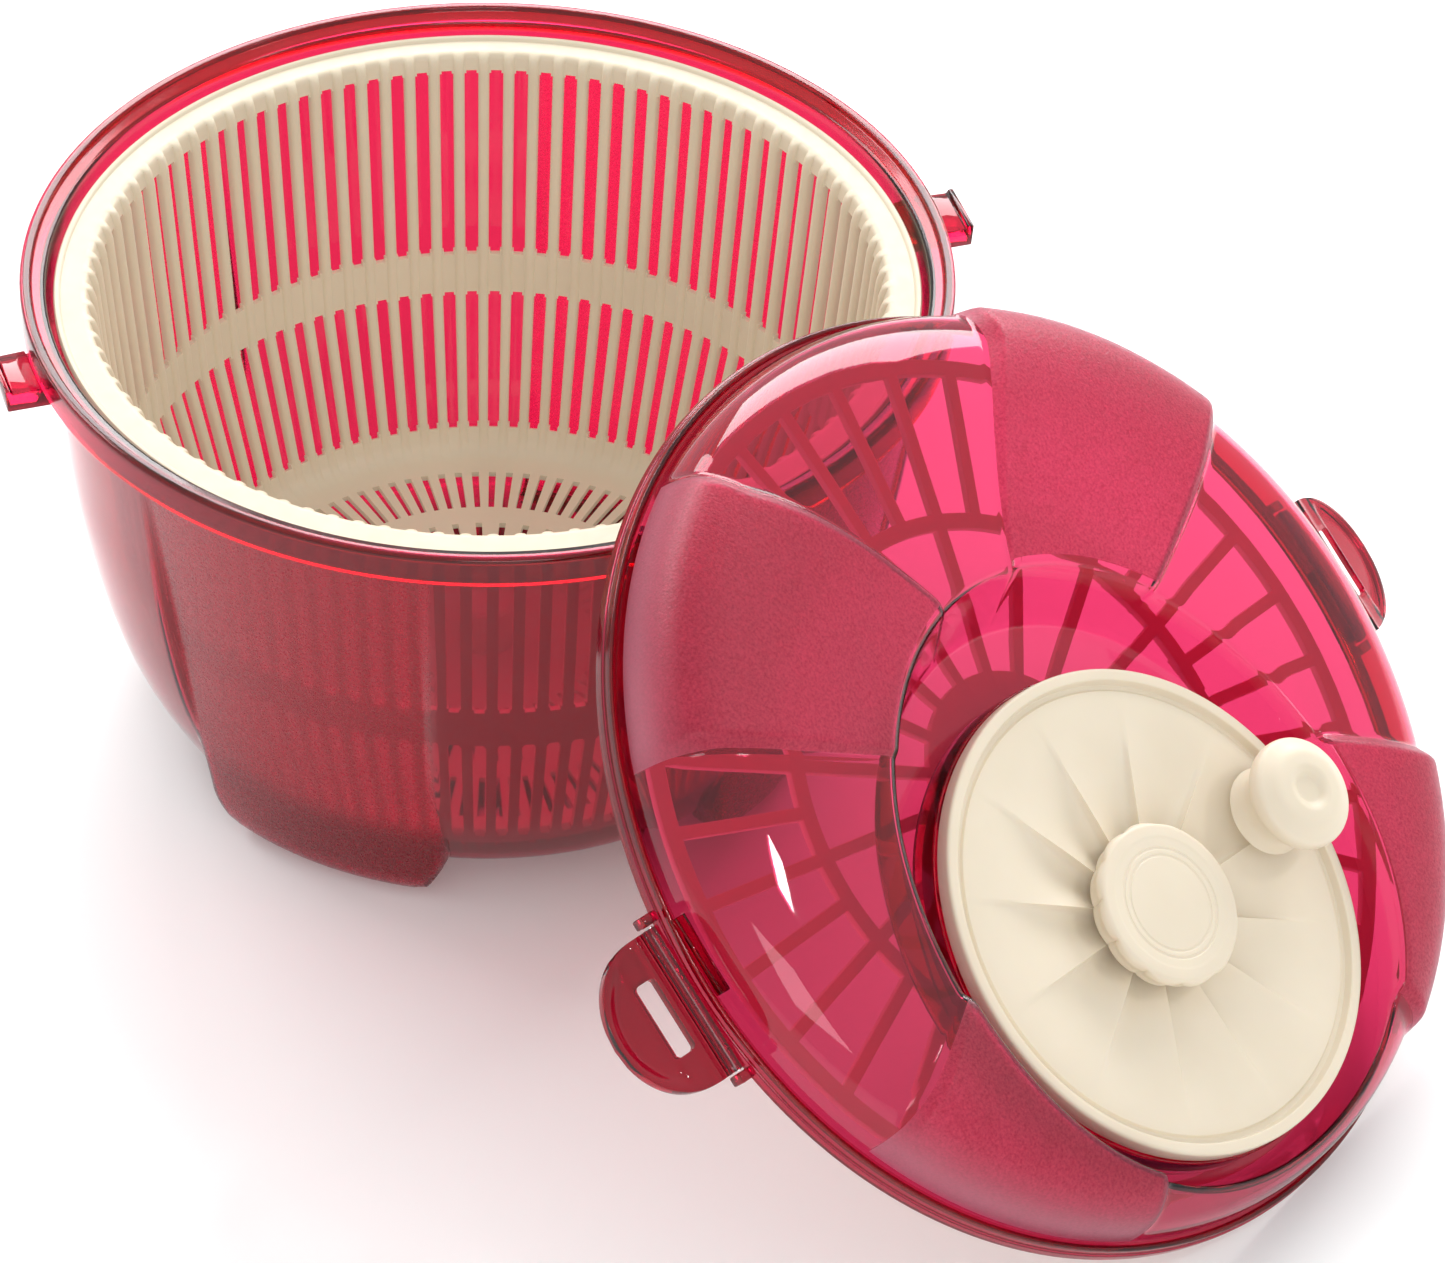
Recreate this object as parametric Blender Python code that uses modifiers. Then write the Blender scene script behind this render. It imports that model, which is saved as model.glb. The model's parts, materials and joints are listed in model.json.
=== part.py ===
"""Salad spinner with its lid off: a bowl with a slotted basket, and the lid leaning on the bowl's rim.

The bowl stands on four feet. The lid rests with its skirt on the table and its drive plate on the rim.
An off-centre crank disc on the lid carries an internal ring gear, which turns a small pinion and the
drive plate under it. Two latches on the lid fold down over lugs on the bowl.
"""

import math

import bmesh
import bpy
from mathutils import Vector

MM = 0.001

# Places of the bowl's axis and of the lid's centre on the table.
BOWL_CENTRE = (-97.53 * MM, 37.75 * MM)
BOWL_TURN = math.radians(52.8)
LID_OFFSET = (219.18 * MM, -37.41 * MM)
LID_TILT = math.radians(40.51)
LID_TURN = math.radians(-97.25)

# Bowl, measured up from the table.
BOWL_HEIGHT = 160.0 * MM
BOWL_WALL = 2.2 * MM
LUG_ROOT = 131.5 * MM
LUG_REACH = 151.0 * MM
LUG_WIDTH = 20.0 * MM
LUG_TOP = BOWL_HEIGHT - 8.2 * MM
LUG_BOTTOM = BOWL_HEIGHT - 15.2 * MM

# Basket.
SLOTS = 96
SLOT_SHARE = 0.56
BASKET_WALL = 1.8 * MM

# Lid, measured along its own axis from the ledge that sits on the rim.
LID_WALL = 1.8 * MM
SKIRT_RADIUS = 143.5 * MM
SKIRT_DEPTH = 4.2 * MM
DOME_FLOOR = 6.5 * MM
PETAL_HALF_ANGLE = 20.0

# Crank and gears.
MODULE = 2.0 * MM
RING_TEETH = 64
PINION_TEETH = 12
CRANK_OFFSET = MODULE * (RING_TEETH - PINION_TEETH) / 2
CRANK_TURN = math.radians(-3.6)
CRANK_PLACE = (-CRANK_OFFSET * math.sin(CRANK_TURN), CRANK_OFFSET * math.cos(CRANK_TURN), 0)
CRANK_RADIUS = 73.5 * MM
CRANK_TOP = 23.0 * MM
KNOB_RADIUS = 55.0 * MM
KNOB_ANGLE = math.radians(189.2)
COLLAR_INNER = 72.3 * MM
COLLAR_OUTER = 74.2 * MM
COLLAR_TOP = 17.0 * MM

# Drive plate.
PLATE_BOTTOM = -3.6 * MM
PLATE_TOP = -0.9 * MM
PLATE_TURN = math.radians(-8.8)
OUTER_SPOKES = 36
SPOKE_WIDTH = 3.9 * MM

# Latches.
LATCH_PIVOT_RADIUS = 147.0 * MM
LATCH_PIVOT_HEIGHT = 0.0 * MM
LATCH_REACH = 179.5 * MM
LATCH_RIGHT_DROP = math.radians(20)
LATCH_HALF_WIDTH = 23.0 * MM

TINT = (0.55, 0.02, 0.09, 1.0)
CREAM = (0.83, 0.78, 0.66, 1.0)
STEEL = (0.62, 0.62, 0.64, 1.0)

# Column angles of one quarter turn, from the middle of a panel or petal.
BOWL_QUARTER = (-45, -38, -31, -24, -20, -13.5, -7, 0, 7, 13.5, 20, 24, 31, 38)
LID_QUARTER = (-45, -38, -30, -21.5, -18, -12, -6, 0, 6, 12, 18, 21.5, 30, 38)


def clear_scene():
    for item in list(bpy.data.objects):
        bpy.data.objects.remove(item, do_unlink=True)
    for group in list(bpy.data.collections):
        bpy.data.collections.remove(group)


def make_collections():
    parts = bpy.data.collections.new("salad_spinner")
    cutters = bpy.data.collections.new("cutters")
    bpy.context.scene.collection.children.link(parts)
    bpy.context.scene.collection.children.link(cutters)
    cutters.hide_render = True
    return parts, cutters


clear_scene()
PARTS, CUTTERS = make_collections()


def make_material(name, colour, roughness, metallic=0.0):
    material = bpy.data.materials.new(name)
    material.use_nodes = True
    shader = material.node_tree.nodes["Principled BSDF"]
    shader.inputs["Base Color"].default_value = colour
    shader.inputs["Roughness"].default_value = roughness
    shader.inputs["Metallic"].default_value = metallic
    return material


def add_object(name, bm, colour=None, roughness=0.4, metallic=0.0, parent=None, place=(0, 0, 0)):
    mesh = bpy.data.meshes.new(name)
    bm.to_mesh(mesh)
    bm.free()
    mesh.shade_smooth()
    mesh.set_sharp_from_angle(angle=math.radians(40))
    item = bpy.data.objects.new(name, mesh)
    item.location = place
    item.parent = parent
    if colour:
        mesh.materials.append(make_material(name, colour, roughness, metallic))
        PARTS.objects.link(item)
    else:
        item.hide_render = True
        item.display_type = "WIRE"
        CUTTERS.objects.link(item)
    return item


def add_empty(name, parent=None, place=(0, 0, 0), turn=(0, 0, 0), order="XYZ"):
    item = bpy.data.objects.new(name, None)
    item.rotation_mode = order
    item.rotation_euler = turn
    item.location = place
    item.parent = parent
    item.empty_display_size = 20 * MM
    PARTS.objects.link(item)
    return item


def add_solidify(item, thickness, offset=-1.0):
    shell = item.modifiers.new("wall", "SOLIDIFY")
    shell.thickness = thickness
    shell.offset = offset
    shell.use_even_offset = True
    shell.use_quality_normals = True


def add_boolean(item, other, operation):
    step = item.modifiers.new(other.name, "BOOLEAN")
    step.operation = operation
    step.solver = "EXACT"
    step.object = other


def lathe(profile, steps):
    """A closed solid of revolution about Z. The profile is a list of (radius, height) in mm."""
    bm = bmesh.new()
    points = [bm.verts.new((radius * MM, 0, height * MM)) for radius, height in profile]
    on_axis = profile[0][0] == 0 and profile[-1][0] == 0
    edges = [bm.edges.new(pair) for pair in zip(points, points[1:])]
    if not on_axis:
        edges.append(bm.edges.new((points[-1], points[0])))
    bmesh.ops.spin(
        bm,
        geom=points + edges,
        cent=(0, 0, 0),
        axis=(0, 0, 1),
        angle=math.tau,
        steps=steps,
        use_merge=True,
    )
    bmesh.ops.remove_doubles(bm, verts=bm.verts, dist=0.00001)
    bmesh.ops.recalc_face_normals(bm, faces=bm.faces)
    return bm


def box(low, high):
    bm = bmesh.new()
    bmesh.ops.create_cube(bm, size=1.0)
    low = Vector(low)
    size = Vector(high) - low
    for vert in bm.verts:
        vert.co = low + Vector(size[i] * (vert.co[i] + 0.5) for i in range(3))
    return bm


def prism(outline, low, high):
    """A straight prism from a counter-clockwise outline of (x, y) in metres."""
    bm = bmesh.new()
    base = bm.faces.new([bm.verts.new((x, y, low)) for x, y in outline])
    raised = bmesh.ops.extrude_face_region(bm, geom=[base])["geom"]
    for vert in raised:
        if isinstance(vert, bmesh.types.BMVert):
            vert.co.z = high
    bmesh.ops.recalc_face_normals(bm, faces=bm.faces)
    return bm


def join_rings(bm, rings, keep=None):
    """Quads between one ring of points and the next. keep(row, column) says which quads are there."""
    count = len(rings[0])
    for row in range(len(rings) - 1):
        for column in range(count):
            if keep and not keep(row, column):
                continue
            after = (column + 1) % count
            bm.faces.new(
                (
                    rings[row][column],
                    rings[row + 1][column],
                    rings[row + 1][after],
                    rings[row][after],
                )
            )


def polar(radius, angle, height):
    return Vector((radius * math.cos(angle), radius * math.sin(angle), height))


def columns(offsets):
    """(middle of the quarter, offset from it, True on a panel or petal) of each column, in degrees."""
    return [
        (45 + 90 * quarter, offset, abs(offset) <= PETAL_HALF_ANGLE)
        for quarter in range(4)
        for offset in offsets
    ]


def between(table, x):
    """Straight-line reading of a table of (x, y) sorted by rising x."""
    for (x0, y0), (x1, y1) in zip(table, table[1:]):
        if x <= x1:
            return y0 + (y1 - y0) * (x - x0) / (x1 - x0)
    return table[-1][1]


# Rows of the bowl, as (radius, height) in mm: over the turned-down lip, then down the inside to the floor.
BOWL_LIP = ((140, 150.5), (140, 159), (139, 160), (132.5, 160), (131.5, 159), (130.4, 147))
BOWL_SIDE = (
    (127.3, 120), (123.8, 90), (117.9, 60), (110.6, 36.5), (101.3, 18), (95.6, 12.3), (89, 10.2), (84, 10.2), (78, 10.2),
)
BOWL_PANEL = (
    (125.8, 120), (120.8, 90), (115.8, 60), (111.6, 36.5), (107.4, 14.6),
    (103.6, 6), (99, 2.29), (87, 2.29), (84, 10.2),
)


def make_bowl(parent):
    bm = bmesh.new()
    rings = []
    for row in range(len(BOWL_LIP) + len(BOWL_SIDE)):
        ring = []
        for middle, offset, on_panel in columns(BOWL_QUARTER):
            side = BOWL_LIP + (BOWL_PANEL if on_panel else BOWL_SIDE)
            radius, height = side[row]
            angle = math.radians(middle + offset)
            ring.append(bm.verts.new(polar(radius * MM, angle, height * MM)))
        rings.append(ring)
    join_rings(bm, rings)
    bm.faces.new(rings[-1][::-1])
    bmesh.ops.reverse_faces(bm, faces=bm.faces)
    bowl = add_object("bowl", bm, TINT, 0.12, parent=parent)
    add_solidify(bowl, BOWL_WALL)
    for name, side in (("lug_a", 1), ("lug_b", -1)):
        reach = sorted((side * LUG_ROOT, side * LUG_REACH))
        lug = box((reach[0], -LUG_WIDTH / 2, LUG_BOTTOM), (reach[1], LUG_WIDTH / 2, LUG_TOP))
        add_boolean(bowl, add_object(name, lug, parent=parent), "UNION")
    return bowl


def make_pivot_pin(parent):
    profile = ((0, 29.6), (3, 29.6), (4, 28.6), (4, 11.8), (9, 11.6), (9, 10.5), (0, 10.5))
    return add_object("pivot_pin", lathe(profile, 20), TINT, 0.2, parent=parent)


def make_bearing_cup(parent):
    outer = ((0, 32.5), (7, 32.5), (8, 31.5), (8, 14.2), (13, 14.2), (13, 12), (4.5, 12), (4.5, 30), (0, 30))
    return add_object("bearing_cup", lathe(outer, 24), CREAM, 0.45, parent=parent)


# Rows of the middle of the basket's wall, as (radius, height) in mm.
BASKET_ROWS = ((129.2, 152.6), (120.8, 153.6), (119.2, 148), (112.8, 82), (111.2, 68), (98, 21.5), (91, 15.5))
SLOT_ROWS = (2, 4)


def make_basket(parent):
    bm = bmesh.new()
    rings = []
    pitch = math.tau / SLOTS
    for radius, height in BASKET_ROWS:
        ring = []
        for slot in range(SLOTS):
            for share in (0, SLOT_SHARE):
                ring.append(bm.verts.new(polar(radius * MM, pitch * (slot + share), height * MM)))
        rings.append(ring)
    join_rings(bm, rings, lambda row, column: not (row in SLOT_ROWS and column % 2 == 0))
    bm.faces.new(rings[-1][::-1])
    basket = add_object("basket", bm, CREAM, 0.45, parent=parent)
    add_solidify(basket, BASKET_WALL, 0.0)
    hole = add_object("basket_hole", lathe(((0, 40), (8.5, 40), (8.5, 5), (0, 5)), 24), parent=parent)
    add_boolean(basket, hole, "DIFFERENCE")
    return basket


# Height of the lid's top by radius from its axis in mm, between the petals and on them.
DOME = ((0, 27.5), (55, 27.5), (90, 29), (110, 29), (127, 25.6), (136.5, 18.6), (139.2, 11), (141, 2.4))
PETALS = ((0, 28.5), (55, 28.5), (90, 32), (112, 32.4), (129, 29.4), (137.5, 23), (139.8, 12.5), (141, 2.4))


def oval_reach(angle, half_x, half_y, centre, limit):
    """Distance in mm from the lid's axis to an oval centred at (0, centre), kept inside a limit."""
    c, s = math.cos(angle), math.sin(angle)
    a = (c / half_x) ** 2 + (s / half_y) ** 2
    b = -s * centre / half_y**2
    reach = (-b + math.sqrt(b * b - a * ((centre / half_y) ** 2 - 1))) / a
    return (reach**-12 + limit**-12) ** (-1 / 12)


def petal_angle(middle, offset, radius):
    """Direction in radians of a lid column at a radius in mm. The petals spread towards the lid's middle."""
    inward = min(1, max(0, (125 - radius) / 65))
    back = math.sin(math.radians(middle)) < 0
    faces_back = back and offset * math.cos(math.radians(middle)) < 0
    spread = 10 if faces_back else 3
    near = abs(offset) / 18 if abs(offset) <= 18 else (45 - abs(offset)) / 27
    return math.radians(middle + math.copysign(abs(offset) + spread * inward * near, offset))


def lid_column(middle, offset, on_petal):
    """(radius, angle, height) down one column of the lid's top side, from the skirt to the middle."""
    table = PETALS if on_petal else DOME
    edge = oval_reach(math.radians(middle + offset) - CRANK_TURN, 84, 100, 45, 138.5)
    inner = petal_angle(middle, offset, edge)
    edge = oval_reach(inner - CRANK_TURN, 84, 100, 45, 138.5)
    foot = oval_reach(inner - CRANK_TURN, 80.5, 88, 45, 160)
    outer = math.radians(middle + offset)
    rim = SKIRT_RADIUS / MM
    rows = [(rim, outer, -SKIRT_DEPTH / MM), (rim, outer, 1.2), (rim - 0.9, outer, 2.2), (141, outer, 2.4)]
    shoulder = 137.5 if on_petal else 136.5
    rows.append((139.8, outer, 12.5) if on_petal else (139.2, outer, 11))
    for share in (0, 0.13, 0.35, 0.65, 1):
        radius = shoulder + (edge - shoulder) * share
        rows.append((radius, petal_angle(middle, offset, radius), between(table, radius)))
    rows.append((foot, inner, 8.3))
    rows.append((foot - 2, inner, 6.5))
    rows.append((8.5, inner, 6.5))
    return rows


def make_lid_dome(parent):
    bm = bmesh.new()
    profiles = [lid_column(*column) for column in columns(LID_QUARTER)]
    rings = []
    for row in range(len(profiles[0])):
        ring = []
        for profile in profiles:
            radius, angle, height = profile[row]
            ring.append(bm.verts.new(polar(radius * MM, angle, height * MM)))
        rings.append(ring)
    join_rings(bm, rings)
    bmesh.ops.reverse_faces(bm, faces=bm.faces)
    lid = add_object("lid_dome", bm, TINT, 0.1, parent=parent)
    add_solidify(lid, LID_WALL)
    height = (DOME_FLOOR - 1 * MM) / MM
    inner, outer, top = COLLAR_INNER / MM, COLLAR_OUTER / MM, COLLAR_TOP / MM
    collar = lathe(((outer, top), (outer, height), (inner, height), (inner, top)), 64)
    add_boolean(lid, add_object("collar", collar, parent=parent, place=CRANK_PLACE), "UNION")
    boss = lathe(((0, 10), (9, 10), (10, 9), (10, height), (0, height)), 24)
    add_boolean(lid, add_object("axle_boss", boss, parent=parent, place=CRANK_PLACE), "UNION")
    for side in (1, -1):
        for end in (1, -1):
            add_boolean(lid, make_latch_ear(parent, side, end), "UNION")
    return lid


def make_latch_ear(parent, side, end):
    """One of the lid's ears that hold a latch's hinge pin, a closed solid."""
    reach = sorted((side * (SKIRT_RADIUS - 3.4 * MM), side * (LATCH_PIVOT_RADIUS + 2.6 * MM)))
    across = sorted((end * (LATCH_HALF_WIDTH + 0.6 * MM), end * (LATCH_HALF_WIDTH + 4.0 * MM)))
    bm = box((reach[0], across[0], LATCH_PIVOT_HEIGHT - 2.6 * MM), (reach[1], across[1], LATCH_PIVOT_HEIGHT + 2.6 * MM))
    return add_object(f"ear_{'left' if side > 0 else 'right'}_{'front' if end > 0 else 'back'}", bm, parent=parent)


def latch_outline():
    """Plan of a latch's plate, from the hinge at x = 0 to its round end."""
    reach = LATCH_REACH - LATCH_PIVOT_RADIUS
    points = [(0, -LATCH_HALF_WIDTH), (7 * MM, -LATCH_HALF_WIDTH)]
    steps = 14
    for step in range(1, steps):
        angle = math.pi * step / steps - math.pi / 2
        points.append((7 * MM + (reach - 7 * MM) * math.cos(angle), LATCH_HALF_WIDTH * math.sin(angle)))
    points += [(7 * MM, LATCH_HALF_WIDTH), (0, LATCH_HALF_WIDTH)]
    return points


def lying_lathe(profile, steps):
    """A solid of revolution about Y."""
    bm = lathe(profile, steps)
    for vert in bm.verts:
        vert.co = Vector((vert.co.x, vert.co.z, -vert.co.y))
    return bm


def make_latch(name, parent):
    half = LATCH_HALF_WIDTH / MM
    latch = add_object(name, prism(latch_outline(), -1.2 * MM, 1.2 * MM), TINT, 0.12, parent=parent)
    barrel = lying_lathe(((0, half), (2.7, half), (2.7, -half), (0, -half)), 20)
    add_boolean(latch, add_object(name + "_barrel", barrel, parent=parent), "UNION")
    slot = box((8.6 * MM, -11.6 * MM, -4 * MM), (16.8 * MM, 11.6 * MM, 4 * MM))
    add_boolean(latch, add_object(name + "_slot", slot, parent=parent), "DIFFERENCE")
    bore = lying_lathe(((0, half + 4), (1.4, half + 4), (1.4, -half - 4), (0, -half - 4)), 16)
    add_boolean(latch, add_object(name + "_bore", bore, parent=parent), "DIFFERENCE")
    return latch


def make_latch_pin(name, parent):
    half = LATCH_HALF_WIDTH / MM + 0.3
    return add_object(name, lying_lathe(((0, half), (1.1, half), (1.1, -half), (0, -half)), 16), STEEL, 0.3, 1.0, parent)


def crank_profile():
    """(radius, height) in mm of the crank disc's section: a dished plate with a skirt and a hub."""
    top = CRANK_TOP / MM
    edge = CRANK_RADIUS / MM
    return (
        (5.4, top - 3),
        (28, top - 3),
        (69, top - 1.2),
        (70, top),
        (edge - 1, top),
        (edge, top - 1),
        (edge, top - 5.5),
        (71.6, top - 5.6),
        (71.6, 8.6),
        (69.8, 8.6),
        (69.8, top - 4),
        (9, top - 5.2),
        (9, 10.8),
        (5.4, 10.8),
    )


def make_crank_disc(parent):
    return add_object("crank_disc", lathe(crank_profile(), 60), CREAM, 0.45, parent=parent)


def gear_outline(teeth, tip, root, phase):
    """Points round a gear: two on each tooth's top and two at its foot."""
    pitch = math.tau / teeth
    points = []
    for tooth in range(teeth):
        middle = pitch * (tooth + phase)
        for share, radius in ((-0.27, root), (-0.13, tip), (0.13, tip), (0.27, root)):
            points.append((radius * math.cos(middle + share * pitch), radius * math.sin(middle + share * pitch)))
    return points


def make_ring_gear(parent):
    pitch_radius = MODULE * RING_TEETH / 2
    teeth = gear_outline(RING_TEETH, pitch_radius - 1.6 * MM, pitch_radius + 2.1 * MM, 0.5)
    ring = lathe(((69.4, 16.5), (69.4, 9), (60, 9), (60, 16.5)), 64)
    gear = add_object("ring_gear", ring, CREAM, 0.45, parent=parent)
    cutter = add_object("ring_gear_teeth", prism(teeth, 5 * MM, 20 * MM), parent=parent)
    add_boolean(gear, cutter, "DIFFERENCE")
    return gear


def make_pinion(parent):
    pitch_radius = MODULE * PINION_TEETH / 2
    teeth = gear_outline(PINION_TEETH, pitch_radius + 1.6 * MM, pitch_radius - 2.1 * MM, 0)
    pinion = add_object("drive_pinion", prism(teeth, 8.8 * MM, 16 * MM), CREAM, 0.45, parent=parent)
    shaft = lathe(((0, 10), (3.6, 10), (3.6, -4.9), (3, -5.5), (0, -5.5)), 20)
    pinion.rotation_euler = (0, 0, CRANK_TURN)
    add_boolean(pinion, add_object("pinion_shaft", shaft, parent=parent), "UNION")
    return pinion


def make_pinion_bush(parent):
    profile = ((7.9, 8.4), (7.9, 4.6), (4.1, 4.6), (4.1, 8.4))
    return add_object("pinion_bush", lathe(profile, 24), STEEL, 0.35, 1.0, parent)


def make_crank_axle(parent):
    profile = ((0, 20.4), (4.4, 20.4), (5, 19.8), (5, 10.3), (0, 10.3))
    return add_object("crank_axle", lathe(profile, 20), STEEL, 0.3, 1.0, parent)


def make_hub_cap(parent):
    bm = bmesh.new()
    rings = []
    for radius, height in ((24.6, 21.0), (24.6, 27.8), (22.8, 29.4)):
        ring = []
        for step in range(48):
            angle = math.tau * step / 48
            wave = 1 + 0.016 * math.cos(12 * angle)
            ring.append(bm.verts.new(polar(radius * wave * MM, angle, height * MM)))
        rings.append(ring)
    join_rings(bm, rings)
    bm.faces.new(rings[0])
    bm.faces.new(rings[-1][::-1])
    bmesh.ops.recalc_face_normals(bm, faces=bm.faces)
    return add_object("crank_hub_cap", bm, CREAM, 0.45, parent=parent)


def make_knob_spindle(parent):
    profile = ((0, 41), (3.5, 41), (3.5, 24.2), (9, 23.4), (9, 22.0), (0, 22.0))
    return add_object("knob_spindle", lathe(profile, 20), CREAM, 0.45, parent=parent)


def make_knob_grip(parent):
    profile = (
        (0, 45.2), (5, 45.2), (6.5, 46.4), (12.5, 46), (15.6, 44), (17, 40.5), (16.4, 37.5), (13.6, 35.5),
        (11.6, 33), (11, 29), (13.8, 24.8), (10.4, 24.8), (3.9, 26), (3.9, 41.6), (0, 41.6),
    )
    return add_object("knob_grip", lathe(profile, 26), CREAM, 0.45, parent=parent)


def make_drive_plate(parent):
    """A flat wheel: hub, middle ring and outer ring, with every other spoke running to the hub."""
    bm = bmesh.new()
    radii = (130.5, 125, 82, 77, 33, 4.0)
    rings = []
    for radius in radii:
        ring = []
        half = math.asin(min(0.35, SPOKE_WIDTH / 2 / (radius * MM)))
        half = min(half, math.tau / OUTER_SPOKES * 0.3)
        for spoke in range(OUTER_SPOKES):
            middle = math.tau * spoke / OUTER_SPOKES
            ring.append(bm.verts.new(polar(radius * MM, middle - half, PLATE_TOP)))
            ring.append(bm.verts.new(polar(radius * MM, middle + half, PLATE_TOP)))
        rings.append(ring)

    def is_solid(row, column):
        if row == 1:
            return column % 2 == 0
        if row == 3:
            return column % 4 == 0
        return True

    join_rings(bm, rings, is_solid)
    bmesh.ops.reverse_faces(bm, faces=bm.faces)
    plate = add_object("drive_plate", bm, CREAM, 0.45, parent=parent)
    plate.rotation_euler = (0, 0, PLATE_TURN)
    add_solidify(plate, PLATE_TOP - PLATE_BOTTOM)
    return plate


def make_plate_screw(parent):
    profile = ((0, -5.9), (5.4, -5.9), (5.4, -7.1), (4.4, -7.9), (0, -7.9))
    return add_object("drive_plate_screw", lathe(profile, 16), STEEL, 0.3, 1.0, parent)


def build():
    bowl_place = (BOWL_CENTRE[0], BOWL_CENTRE[1], 0)
    bowl_axis = add_empty("bowl_axis", place=bowl_place, turn=(0, 0, BOWL_TURN))
    make_bowl(bowl_axis)
    make_pivot_pin(bowl_axis)
    make_bearing_cup(bowl_axis)
    make_basket(bowl_axis)
    lid_height = SKIRT_RADIUS * math.sin(LID_TILT) + SKIRT_DEPTH * math.cos(LID_TILT)
    lid_place = (BOWL_CENTRE[0] + LID_OFFSET[0], BOWL_CENTRE[1] + LID_OFFSET[1], lid_height)
    lid_turn = (0, LID_TILT, LID_TURN)
    lid_axis = add_empty("lid_axis", place=lid_place, turn=lid_turn, order="ZYX")
    make_lid_dome(lid_axis)
    make_pinion(lid_axis)
    make_pinion_bush(lid_axis)
    make_drive_plate(lid_axis)
    make_plate_screw(lid_axis)
    for side, drop, label in ((0, 0, "left"), (math.pi, LATCH_RIGHT_DROP, "right")):
        place = (LATCH_PIVOT_RADIUS * math.cos(side), 0, LATCH_PIVOT_HEIGHT)
        pivot = add_empty("latch_axis_" + label, lid_axis, place, (0, drop, side))
        make_latch("latch_" + label, pivot)
        make_latch_pin("latch_pin_" + label, pivot)
    crank_axis = add_empty("crank_axis", lid_axis, CRANK_PLACE, (0, 0, CRANK_TURN))
    make_crank_disc(crank_axis)
    make_ring_gear(crank_axis)
    make_crank_axle(crank_axis)
    make_hub_cap(crank_axis)
    knob_place = (KNOB_RADIUS * math.cos(KNOB_ANGLE), KNOB_RADIUS * math.sin(KNOB_ANGLE), 0)
    knob_axis = add_empty("knob_axis", crank_axis, knob_place)
    make_knob_spindle(knob_axis)
    make_knob_grip(knob_axis)


build()
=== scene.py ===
import json
import math

import bmesh
import bpy
import numpy as np
from mathutils import Matrix, Vector


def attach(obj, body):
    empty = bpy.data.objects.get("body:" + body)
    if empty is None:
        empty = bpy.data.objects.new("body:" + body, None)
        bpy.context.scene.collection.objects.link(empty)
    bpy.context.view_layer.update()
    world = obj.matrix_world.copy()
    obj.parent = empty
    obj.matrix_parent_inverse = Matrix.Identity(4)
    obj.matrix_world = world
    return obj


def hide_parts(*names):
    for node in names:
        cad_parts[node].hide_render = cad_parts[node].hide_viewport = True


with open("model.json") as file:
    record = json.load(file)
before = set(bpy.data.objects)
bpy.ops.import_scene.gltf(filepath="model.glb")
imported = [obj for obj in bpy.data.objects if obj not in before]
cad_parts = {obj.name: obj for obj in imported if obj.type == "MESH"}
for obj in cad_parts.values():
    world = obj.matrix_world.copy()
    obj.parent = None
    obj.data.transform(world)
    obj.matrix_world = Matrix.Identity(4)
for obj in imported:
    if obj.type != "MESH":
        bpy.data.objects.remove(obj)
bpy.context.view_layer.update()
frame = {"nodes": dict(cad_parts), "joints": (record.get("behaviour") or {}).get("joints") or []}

MM = 0.001
WELD = 0.002 * MM
TAU = math.tau

# Where things are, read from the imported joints.
JOINTS = {joint["name"]: joint for joint in frame["joints"]}
NODES = frame["nodes"]
# How far the feet and lugs are turned about the bowl's axis.
BOWL_TURN = math.radians(52.8)
BOWL = Matrix.Translation((*JOINTS["basket_spin"]["pos_m"][:2], 0)) @ Matrix.Rotation(BOWL_TURN, 4, "Z")


def frame_at(place, x_axis, z_axis):
    """A placement with its origin at a point, Z along one direction and X near another."""
    z = Vector(z_axis).normalized()
    y = z.cross(Vector(x_axis)).normalized()
    x = y.cross(z)
    matrix = Matrix((x, y, z)).transposed().to_4x4()
    matrix.translation = Vector(place)
    return matrix


LID_CENTRE = Vector(JOINTS["drive_spin"]["pos_m"])
CRANK_CENTRE = Vector(JOINTS["crank_spin"]["pos_m"])
LID_UP = Vector(JOINTS["drive_spin"]["axis"]).normalized()
LID_X = Vector(JOINTS["latch_left_fold"]["axis"]).cross(LID_UP)
LID_LEVEL = LID_CENTRE.dot(LID_UP)
# How far the crank and the lid's well are turned about the lid's axis.
CRANK_TURN = math.radians(-3.6)
LID = frame_at(LID_CENTRE, LID_X, LID_UP)
CRANK = frame_at(CRANK_CENTRE, LID_X, LID_UP)
KNOB = frame_at(JOINTS["knob_spin"]["pos_m"], LID_X, LID_UP)
# How far the right-hand latch hangs below the skirt.
LATCH_DROP = math.radians(20)
LATCHES = {
    "left": frame_at(JOINTS["latch_left_fold"]["pos_m"], LID_X, LID_UP),
    "right": frame_at(JOINTS["latch_right_fold"]["pos_m"], -LID_X, LID_UP),
}
LATCHES["right"] = LATCHES["right"] @ Matrix.Rotation(LATCH_DROP, 4, "Y")


# ---------------------------------------------------------------- materials

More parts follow.
